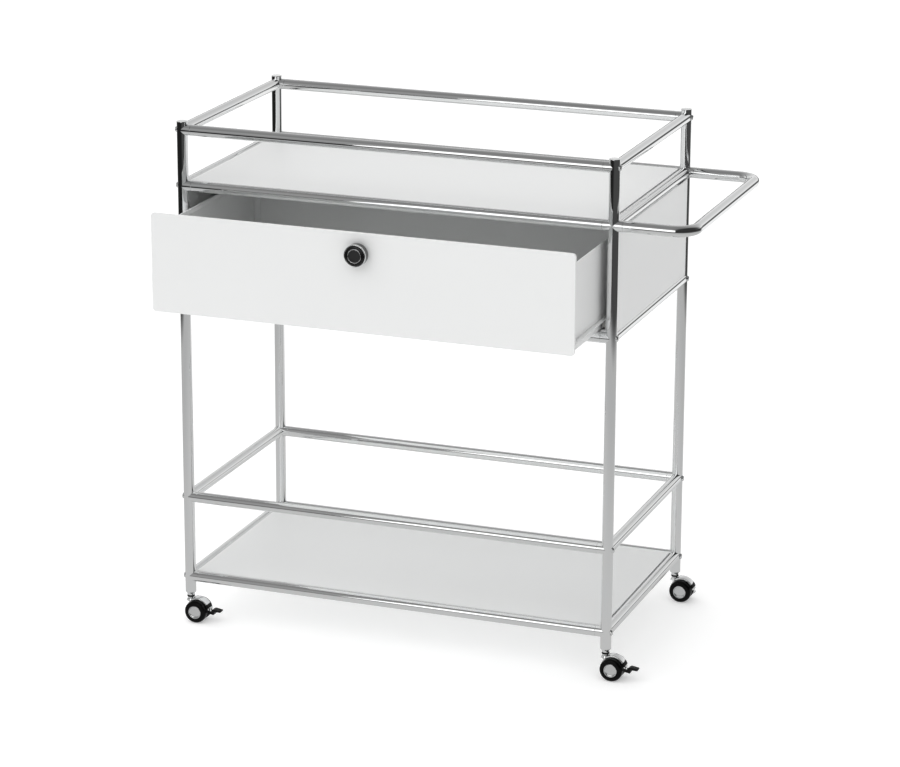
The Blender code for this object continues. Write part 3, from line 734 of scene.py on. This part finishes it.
# Runners. Each side has a channel screwed inside the posts and an angle under the drawer wall, both of folded
# sheet, coated like the panels.
RUNNER_SHEET = 0.0012
RUNNER_LIP = 0.0005
RUNNER_BEND = 0.0006
CHANNEL_REACH = 0.0085
ANGLE_REACH = 0.0070
for side, way in (("left", -1), ("right", 1)):
    low, high = box("cabinet_runner_" + side)
    outer = high.x if way > 0 else low.x
    inner = outer - way * RUNNER_SHEET
    reach = outer - way * CHANNEL_REACH
    outline = [
        (outer, low.z),
        (outer, high.z - RUNNER_LIP),
        (outer - way * RUNNER_LIP, high.z),
        (inner + way * HAIR, high.z),
        (inner, high.z - RUNNER_LIP),
        (inner, low.z + RUNNER_SHEET + RUNNER_BEND),
        (inner - way * RUNNER_BEND, low.z + RUNNER_SHEET),
        (reach, low.z + RUNNER_SHEET),
        (reach - way * 0.0002, low.z + 0.0006),
        (reach, low.z),
    ]
    mesh = folded_strip("coated_cabinet_runner_" + side, outline, low.y, high.y)
    piece(mesh, white_coat, "cart_frame", "white_coat", "cabinet_runner_" + side)
    low, high = box("drawer_runner_" + side)
    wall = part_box("drawer_side_" + side)[1 if way > 0 else 0][0]
    outer = wall + way * ANGLE_REACH
    outline = [
        (wall - way * RUNNER_SHEET, low.z),
        (wall - way * HAIR, low.z),
        (wall, low.z + 0.0003),
        (wall, high.z - RUNNER_SHEET - RUNNER_BEND),
        (wall + way * RUNNER_BEND, high.z - RUNNER_SHEET),
        (outer, high.z - RUNNER_SHEET),
        (outer + way * 0.0003, high.z - 0.0006),
        (outer, high.z),
        (wall - way * RUNNER_SHEET, high.z),
    ]
    mesh = folded_strip("coated_drawer_runner_" + side, outline, low.y, high.y)
    piece(mesh, white_coat, "drawer", "white_coat", "drawer_runner_" + side)


# Rollers. A grey nylon roller turns on a riveted pin at each runner's end: at the front of the channel, where
# it carries the drawer's angle, and at the back of the angle, where it runs in the channel.
ROLLER_SIDES = 32
ROLLER_EDGE = 0.0010
ROLLER_BORE_R = 0.0018
BOSS_R = 0.0036
BOSS_SLOPE = 0.0004
BOSS_SUNK = 0.0008
PIN_SIDES = 20
PIN_R = 0.0015
SPECKS_PER_METRE = 700
SPECK_DEPTH = 0.00003
grey_nylon, nylon_shader, nylon_dial = new_finish("grey_nylon", Specular_IOR_Level=0.4)
speck = grain(nylon_dial, SPECKS_PER_METRE)
nylon_dial.plug(nylon_shader.inputs["Base Color"], speck.between((0.30, 0.30, 0.29), (0.36, 0.36, 0.35)))
nylon_dial.plug(nylon_shader.inputs["Roughness"], 0.42 + 0.12 * speck)
relief(nylon_dial, nylon_shader, speck, SPECK_DEPTH, 0.4)
for side in ("left", "right"):
    for kind, carrier in (("front_roller_", "cart_frame"), ("rear_roller_", "drawer")):
        low, high = box(kind + side)
        half = (high.x - low.x) / 2
        r = (high.z - low.z) / 2
        sunk = half - BOSS_SUNK
        place = Matrix.Translation(middle(kind + side)) @ Matrix.Rotation(QUARTER, 4, "Y")
        outline = [(ROLLER_BORE_R, sunk), (BOSS_R - BOSS_SLOPE, sunk), (BOSS_R, half)]
        outline += arc(r - ROLLER_EDGE, half - ROLLER_EDGE, ROLLER_EDGE, 90, 0, 4)
        outline += arc(r - ROLLER_EDGE, -half + ROLLER_EDGE, ROLLER_EDGE, 0, -90, 4)
        outline += [(BOSS_R, -half), (BOSS_R - BOSS_SLOPE, -sunk), (ROLLER_BORE_R, -sunk)]
        mesh = turned("nylon_" + kind + side, outline, ROLLER_SIDES, place, joined=True)
        piece(mesh, grey_nylon, kind + side, "nylon", kind + side, crease=40)
        pin = [
            (0, half + 0.0030),
            (0.0030, half + 0.0029),
            (0.0031, half + 0.0012),
            (PIN_R, half + 0.0010),
            (PIN_R, -half - 0.0020),
            (0, -half - 0.0020),
        ]
        mesh = turned(kind + "pin_" + side, pin, PIN_SIDES, place)
        piece(mesh, satin_chrome, carrier, "chrome")


# Casters. Each has a bright die-cast hood with a web and a neck in one piece, and a black plastic wedge set
# in the hood's tail. It turns on a stem in the post's foot, and its wheels trail behind.
HOOD_GAP = 0.0011
HOOD_SHELL = 0.0022
HOOD_HALF = 0.0080
HOOD_EDGE = 0.0012
HOOD_FROM = 8
HOOD_SWEEP = 112
HOOD_STEPS = 28
WEDGE_FROM = 16
WEDGE_STEP = 2.5
WEDGE_STEPS = 8
WEB_HALF = 0.0022
WEB_BITE = 0.0004
NECK_SIDES = 48
NECK_R = 0.0058
NECK_TOP_R = 0.0048
hood_chrome = chrome_finish("cast_chrome", 0.84, 0.055)
neck_top = SOCKET_LOW - 0.0003
neck_outline = [
    (0, neck_top),
    (NECK_TOP_R, neck_top),
    (NECK_TOP_R + 0.0002, neck_top - 0.0016),
    (NECK_TOP_R, neck_top - 0.0018),
    (NECK_TOP_R, neck_top - 0.0030),
]
for t in (0, 0.3, 0.6, 0.85, 1):
    neck_outline.append((NECK_R - 0.0002 + 0.0022 * t * t, neck_top - 0.0032 - 0.0062 * t))
neck_outline.append((0, neck_top - 0.0094))


def hood_section(half, inner, outer):
    """Across the hood: flat sides and rounded outer edges, as (y, radius) points."""
    points = [(-half, inner), (half, inner)]
    points += arc(half - HOOD_EDGE, outer - HOOD_EDGE, HOOD_EDGE, 0, 90, 4)
    points += arc(-half + HOOD_EDGE, outer - HOOD_EDGE, HOOD_EDGE, 90, 180, 4)
    return points


def swung(axle, degrees, section):
    """The section's points, swung up about the axle."""
    turn = math.radians(degrees)
    return [axle + Vector((r * math.cos(turn), y, r * math.sin(turn))) for y, r in section]


for corner in CORNERS:
    body = "caster_" + corner
    wheel_low, wheel_high = box("wheel_outer_" + corner)
    wheel_at = middle("wheel_outer_" + corner)
    axle = Vector((wheel_at.x, AXES[corner].y, wheel_at.z))
    stem = Vector((*AXES[corner], 0))
    trail = axle.x - stem.x
    inner = (wheel_high.z - wheel_low.z) / 2 + HOOD_GAP
    outer = inner + HOOD_SHELL

    hood_rings = []
    for k in range(HOOD_STEPS + 1):
        half = HOOD_HALF - HOOD_EDGE * max(0, 1 - k / 3)
        section = hood_section(half, inner, outer)
        hood_rings.append(swung(axle, HOOD_FROM + HOOD_SWEEP * k / HOOD_STEPS, section))
    web = [(0.0035 - trail, 0.0412 - axle.z), (-0.0010 - trail, 0.0390 - axle.z)]
    web += arc(0, 0, inner + WEB_BITE, 146, 182, 6)
    web += arc(0, 0, 0.0125, 215, 300, 8)
    web += [(0.0165, -0.0072), (0.0205, -0.0052)]
    web += arc(0.0220, -0.0018, 0.0020, -60, 75, 5)
    web += arc(0, 0, inner + WEB_BITE, 12, 110, 12)
    web_rings = [[axle + Vector((x, y, z)) for x, z in web] for y in (-WEB_HALF, WEB_HALF)]
    neck = turned("neck", neck_outline, NECK_SIDES, Matrix.Translation(stem))
    made = bmesh.new()
    for part in (loft("hood", hood_rings), loft("web", web_rings), neck):
        made.from_mesh(part)
        bpy.data.meshes.remove(part)
    mesh = bpy.data.meshes.new("cast_caster_hood_" + corner)
    made.to_mesh(mesh)
    made.free()
    piece(mesh, hood_chrome, body, "chrome", "caster_housing_" + corner, crease=35)

    wedge_rings = []
    for k in range(WEDGE_STEPS + 1):
        proud = 0.0004 if 0 < k < WEDGE_STEPS else -0.0003
        section = hood_section(HOOD_HALF + proud, inner + 0.0002, outer + proud)
        wedge_rings.append(swung(axle, WEDGE_FROM + WEDGE_STEP * k, section))
    piece(loft("black_hood_wedge_" + corner, wedge_rings), black_rubber, body, "black_plastic")


# Dust rings. A black rubber ring sits on the neck of each caster, just under the post's foot, and keeps hair
# and grit out of the swivel's bearing.
DUST_RING_SIDES = 40
DUST_RING_R = 0.0050
DUST_RING_HALF = 0.0015
dust_ring = arc(DUST_RING_R, 0, DUST_RING_HALF, 0, 360, 12)[:-1]
for corner in CORNERS:
    at = Matrix.Translation((*AXES[corner], neck_top - 0.0018))
    mesh = turned("dust_ring_" + corner, dust_ring, DUST_RING_SIDES, at, joined=True)
    piece(mesh, black_rubber, "caster_" + corner, "black_plastic")


# Wheels. A glossy black tyre is moulded round each hub, and a dished metal cap with a bright lip is pressed
# in its face. Two wheels share each axle, one each side of the web.
WHEEL_SIDES = 96
CAP_SIDES = 72
CAP_R = 0.0112
TREAD_R = 0.0046
INNER_TREAD_R = 0.0028
HUB_BORE_R = 0.0029
HUB_R = 0.0058
tyre_black = moulded_black("tyre_black", 0.0012, 0.20, 1500)
cap_metal = chrome_finish("brushed_cap", 0.74, 0.17, (0.12, 1, 2.4))
for corner in CORNERS:
    for side in ("outer", "inner"):
        name = "wheel_" + side + "_" + corner
        low, high = box(name)
        at = middle(name)
        facing = -1 if at.y < AXES[corner].y else 1
        width = high.y - low.y
        wheel_r = (high.z - low.z) / 2
        at.y = low.y if facing < 0 else high.y
        place = Matrix.Translation(at) @ Matrix.Rotation(-facing * QUARTER, 4, "X")
        place = place @ Matrix.Translation((0, 0, -width))
        tyre = [
            (CAP_R + 0.0002, width - 0.0022),
            (CAP_R + 0.0002, width - 0.0006),
            (CAP_R + 0.0008, width - 0.0002),
        ]
        tyre += arc(wheel_r - TREAD_R, width - TREAD_R - 0.0002, TREAD_R, 84, 0, 10)
        tyre += arc(wheel_r - INNER_TREAD_R, INNER_TREAD_R, INNER_TREAD_R, 0, -88, 7)
        tyre += [(0.0125, 0.0001), (0.0120, 0.0006), (HUB_R + 0.0004, 0.0006), (HUB_R, 0)]
        tyre += [(HUB_BORE_R, 0), (HUB_BORE_R, 0.0030), (CAP_R - 0.002, 0.0034)]
        mesh = turned("tyre_" + name, tyre, WHEEL_SIDES, place, joined=True)
        piece(mesh, tyre_black, name, "wheel_rubber", name, crease=30)
        cap = [(0, width - 0.0021), (0.0062, width - 0.0021), (0.0082, width - 0.0019)]
        cap += [(CAP_R - 0.0020, width - 0.0014), (CAP_R - 0.0015, width - 0.0003)]
        cap += arc(CAP_R - 0.0009, width - 0.0006, 0.0007, 130, 0, 5)
        cap += [(CAP_R - 0.0001, width - 0.0036), (0, width - 0.0036)]
        mesh = turned("hub_cap_" + name, cap, CAP_SIDES, place)
        piece(mesh, cap_metal, name, "wheel_rubber", crease=28)


# Brakes. The two front casters have a black plastic lever hinged behind the wheels, which wedges both tyres
# when it is trodden. Its profile draws in a little at both sides, as it leaves its mould.
PEDAL_HALF = 0.0055
PEDAL_BOSS_R = 0.0020
PEDAL_MIDDLE = Vector((0.0082, 0, 0.0026))
PEDAL_DRAFT = ((-1.0, 0.951), (-0.93, 0.9895), (-0.8, 1.0), (0.8, 1.0), (0.93, 0.9895), (1.0, 0.951))
black_plastic = moulded_black("black_lever_plastic", 0.005, 0.30, 1400)
for corner in ("front_left", "front_right"):
    node = "brake_pedal_" + corner
    low, high = box(node)
    pivot = Vector((low.x + PEDAL_BOSS_R, (low.y + high.y) / 2, low.z + 0.0032))
    tip = high.x - pivot.x
    outline = arc(0, 0, PEDAL_BOSS_R, 60, 250, 8)
    outline += [(0.0030, -0.0024), (0.0072, -0.0032), (0.0082, -0.0020), (0.0088, 0.0026), (0.0105, 0.0031)]
    outline += [(tip - 0.0008, 0.0026), (tip - 0.0001, 0.0034), (tip, 0.0050), (tip - 0.0007, 0.0055)]
    outline += [(0.0098, 0.0072), (0.0082, 0.0073), (0.0056, 0.0066)]
    rings = []
    for across, share in PEDAL_DRAFT:
        ring = []
        for x, z in outline:
            point = PEDAL_MIDDLE + (Vector((x, 0, z)) - PEDAL_MIDDLE) * share
            ring.append(pivot + Vector((point.x, across * PEDAL_HALF, point.z)))
        rings.append(ring)
    piece(loft("lever_" + node, rings), black_plastic, node, "black_plastic", node, crease=30)


# The studio floor. A seamless roll of pale paper, lit from all round so that it shows almost white, with
# only soft shadows under the cart.
FLOOR_HALF = 14.0
PAPER_GLOW = 0.32
FIBRES_PER_METRE = 3.0


def wide_sheet(name, height, finish):
    """A level sheet as large as the studio, which is not part of the cart."""
    made = bmesh.new()
    bmesh.ops.create_grid(made, x_segments=4, y_segments=4, size=FLOOR_HALF)
    bmesh.ops.translate(made, verts=made.verts, vec=(0, 0, height))
    mesh = bpy.data.meshes.new(name)
    made.to_mesh(mesh)
    made.free()
    mesh.materials.append(finish)
    sheet = bpy.data.objects.new(name, mesh)
    bpy.context.scene.collection.objects.link(sheet)
    return sheet


paper, paper_shader, paper_dial = new_finish("pale_paper", Roughness=0.9, Specular_IOR_Level=0.0)
fibre = grain(paper_dial, FIBRES_PER_METRE)
paper_dial.plug(paper_shader.inputs["Base Color"], fibre.between((0.84, 0.84, 0.84), (0.86, 0.86, 0.86)))
paper_shader.inputs["Emission Color"].default_value = (1.0, 1.0, 1.0, 1.0)
paper_shader.inputs["Emission Strength"].default_value = PAPER_GLOW
wide_sheet("studio_floor", 0, paper)


# The lamps. One broad soft lamp hangs overhead and lights the shelves. Another stands in front of the cart,
# and shows only in the chrome, as its bright bands.
OVERHEAD_POWER = 7
FRONT_POWER = 16


def lamp(name, size, place, aim, power):
    light = bpy.data.lights.new(name, "AREA")
    light.shape = "RECTANGLE"
    light.size = size[0]
    light.size_y = size[1]
    light.energy = power
    made = bpy.data.objects.new(name, light)
    bpy.context.scene.collection.objects.link(made)
    made.location = place
    made.rotation_euler = (Vector(aim) - Vector(place)).to_track_quat("-Z", "Y").to_euler()
    made.visible_camera = False
    return made


overhead = lamp("overhead_softbox", (3.0, 3.0), (-0.3, -0.3, 3.2), (0, 0, 0.4), OVERHEAD_POWER)
overhead.visible_glossy = False
in_front = lamp("front_softbox", (2.1, 2.0), (-0.25, -3.1, 1.5), (-0.25, 0, 1.5), FRONT_POWER)
in_front.visible_diffuse = False


# The floor in the chrome. Bright metal shows the floor as a lit patch round the cart, and past it a dark
# room on the near side. A sheet that only mirrors see lies just over the paper and glows with both, as a
# painted reflection.
MIRRORED_HEIGHT = 0.0005
DARK_CENTRE = -75
DARK_HALF = 125
DARK_BLUR = 8
dim, dim_shader, dim_dial = new_finish("floor_as_reflected", Specular_IOR_Level=0.0, Emission_Strength=1.0)
dim_shader.inputs["Base Color"].default_value = (0, 0, 0, 1)
mirror_floor = wide_sheet("floor_as_reflected", MIRRORED_HEIGHT, dim)
for ray_kind in ("camera", "diffuse", "shadow", "transmission", "volume_scatter"):
    setattr(mirror_floor, "visible_" + ray_kind, False)


def fade(dial, value, start, end, low, high):
    """Goes smoothly from low to high as the value goes from start to end."""
    settings = {"interpolation_type": "SMOOTHSTEP"}
    return dial.node("MapRange", settings, {0: value, 1: start, 2: end, 3: low, 4: high})


turn_back = (0, 0, -math.radians(DARK_CENTRE))
spot = dim_dial.node("TexCoord", out=3)
spot = dim_dial.node("Mapping", None, {"Vector": spot, "Rotation": turn_back})
ahead = dim_dial.node("SeparateXYZ", None, {0: spot}, out=0)
across = dim_dial.node("SeparateXYZ", None, {0: spot}, out=1)
away = dim_dial.node("VectorMath", {"operation": "LENGTH"}, {0: spot})
off_centre = dim_dial.math("ABSOLUTE", dim_dial.math("ARCTAN2", across, ahead))
dark_from = math.radians(DARK_HALF - DARK_BLUR)
dark_to = math.radians(DARK_HALF + DARK_BLUR)
dark_side = fade(dim_dial, off_centre, dark_from, dark_to, 1.0, 0.0)
# Painted reflection: lit near the cart, dark past two metres on the near side, fading out far away.
lit_patch = fade(dim_dial, away, 0.5, 1.9, 0.58, 0.48)
blackness = fade(dim_dial, across, -1.6, 0.4, 0.97, 0.87)
near_floor = lit_patch * (1.0 - fade(dim_dial, away, 2.0, 2.45, 0.0, 1.0) * blackness)
far_floor = fade(dim_dial, away, 0.5, 2.2, 0.62, 0.96) * fade(dim_dial, away, 5.5, 8.0, 1.0, 0.06)
level = dark_side * near_floor + (1.0 - dark_side) * far_floor
dim_dial.plug(dim_shader.inputs["Emission Color"], level.between((0, 0, 0), (1, 1, 1)))


# The room. The camera sees a white backdrop. Coated surfaces take soft light from high on the left, and the
# chrome sees a grey near side, a bright far wall over a dark skirting, and a black flat on the right.
NEAR_WAY = (0.35, -0.94, 0.0)
SHADE_WAY = (0.8, 0.6, 0.0)
BLACK_FLAT_WAY = (0.92, -0.40, 0.0)
world = bpy.data.worlds.new("studio_room")
bpy.context.scene.world = world
world.use_nodes = True
room = Dial(world.node_tree)
camera_ray = room.node("LightPath", out=0)
glossy_ray = room.node("LightPath", out=3)
direction = room.node("TexCoord", out=0)
height = room.node("SeparateXYZ", None, {0: direction}, out=2)


def towards(way):
    """How far the ray's direction points this way, from -1 to 1."""
    return room.node("VectorMath", {"operation": "DOT_PRODUCT"}, {0: direction, 1: way})


near_side = height.ramp((0.0, 0.10), (0.10, 0.28), (0.50, 0.34), (0.85, 0.22), (1.0, 0.22))
far_side = height.ramp((0.0, 0.12), (0.07, 0.12), (0.12, 0.92), (0.30, 0.72), (0.70, 0.42), (1.0, 0.22))
sky = height.ramp((0.0, 0.22), (0.18, 0.34), (0.42, 1.15), (0.75, 1.60), (0.92, 1.10), (1.0, 0.9))
mirrored = fade(room, towards(NEAR_WAY), -0.25, 0.25, 0.0, 1.0).between(far_side, near_side)
mirrored = fade(room, towards(BLACK_FLAT_WAY), 0.15, 0.60, 1.0, 0.12).between((0, 0, 0), mirrored)
lighting = fade(room, towards(SHADE_WAY), 0.0, 1.0, 0.95, 0.12) * sky
seen = camera_ray.between(glossy_ray.between(lighting, mirrored), (1.0, 1.0, 1.0))
room.plug(world.node_tree.nodes["Background"].inputs["Color"], seen)


# The camera stands at the right-hand front corner, well back with a long lens, and looks down a little. It
# is rolled by a quarter of a degree.
LENS = 134.8
SENSOR_WIDTH = 36.0
CAMERA_AT = Vector((1.8228, -4.9405, 2.0332))
CAMERA_TURN = 20.35
CAMERA_DIP = 16.96
CAMERA_ROLL = 0.25
camera_data = bpy.data.cameras.new("camera")
camera_data.lens = LENS
camera_data.sensor_width = SENSOR_WIDTH
camera = bpy.data.objects.new("camera", camera_data)
bpy.context.scene.collection.objects.link(camera)
aim = Matrix.Rotation(math.radians(CAMERA_TURN), 4, "Z")
aim = aim @ Matrix.Rotation(math.radians(90 - CAMERA_DIP), 4, "X")
aim = aim @ Matrix.Rotation(math.radians(CAMERA_ROLL), 4, "Z")
camera.matrix_world = Matrix.Translation(CAMERA_AT) @ aim
bpy.context.scene.camera = camera
bpy.context.scene.view_settings.view_transform = "Standard"
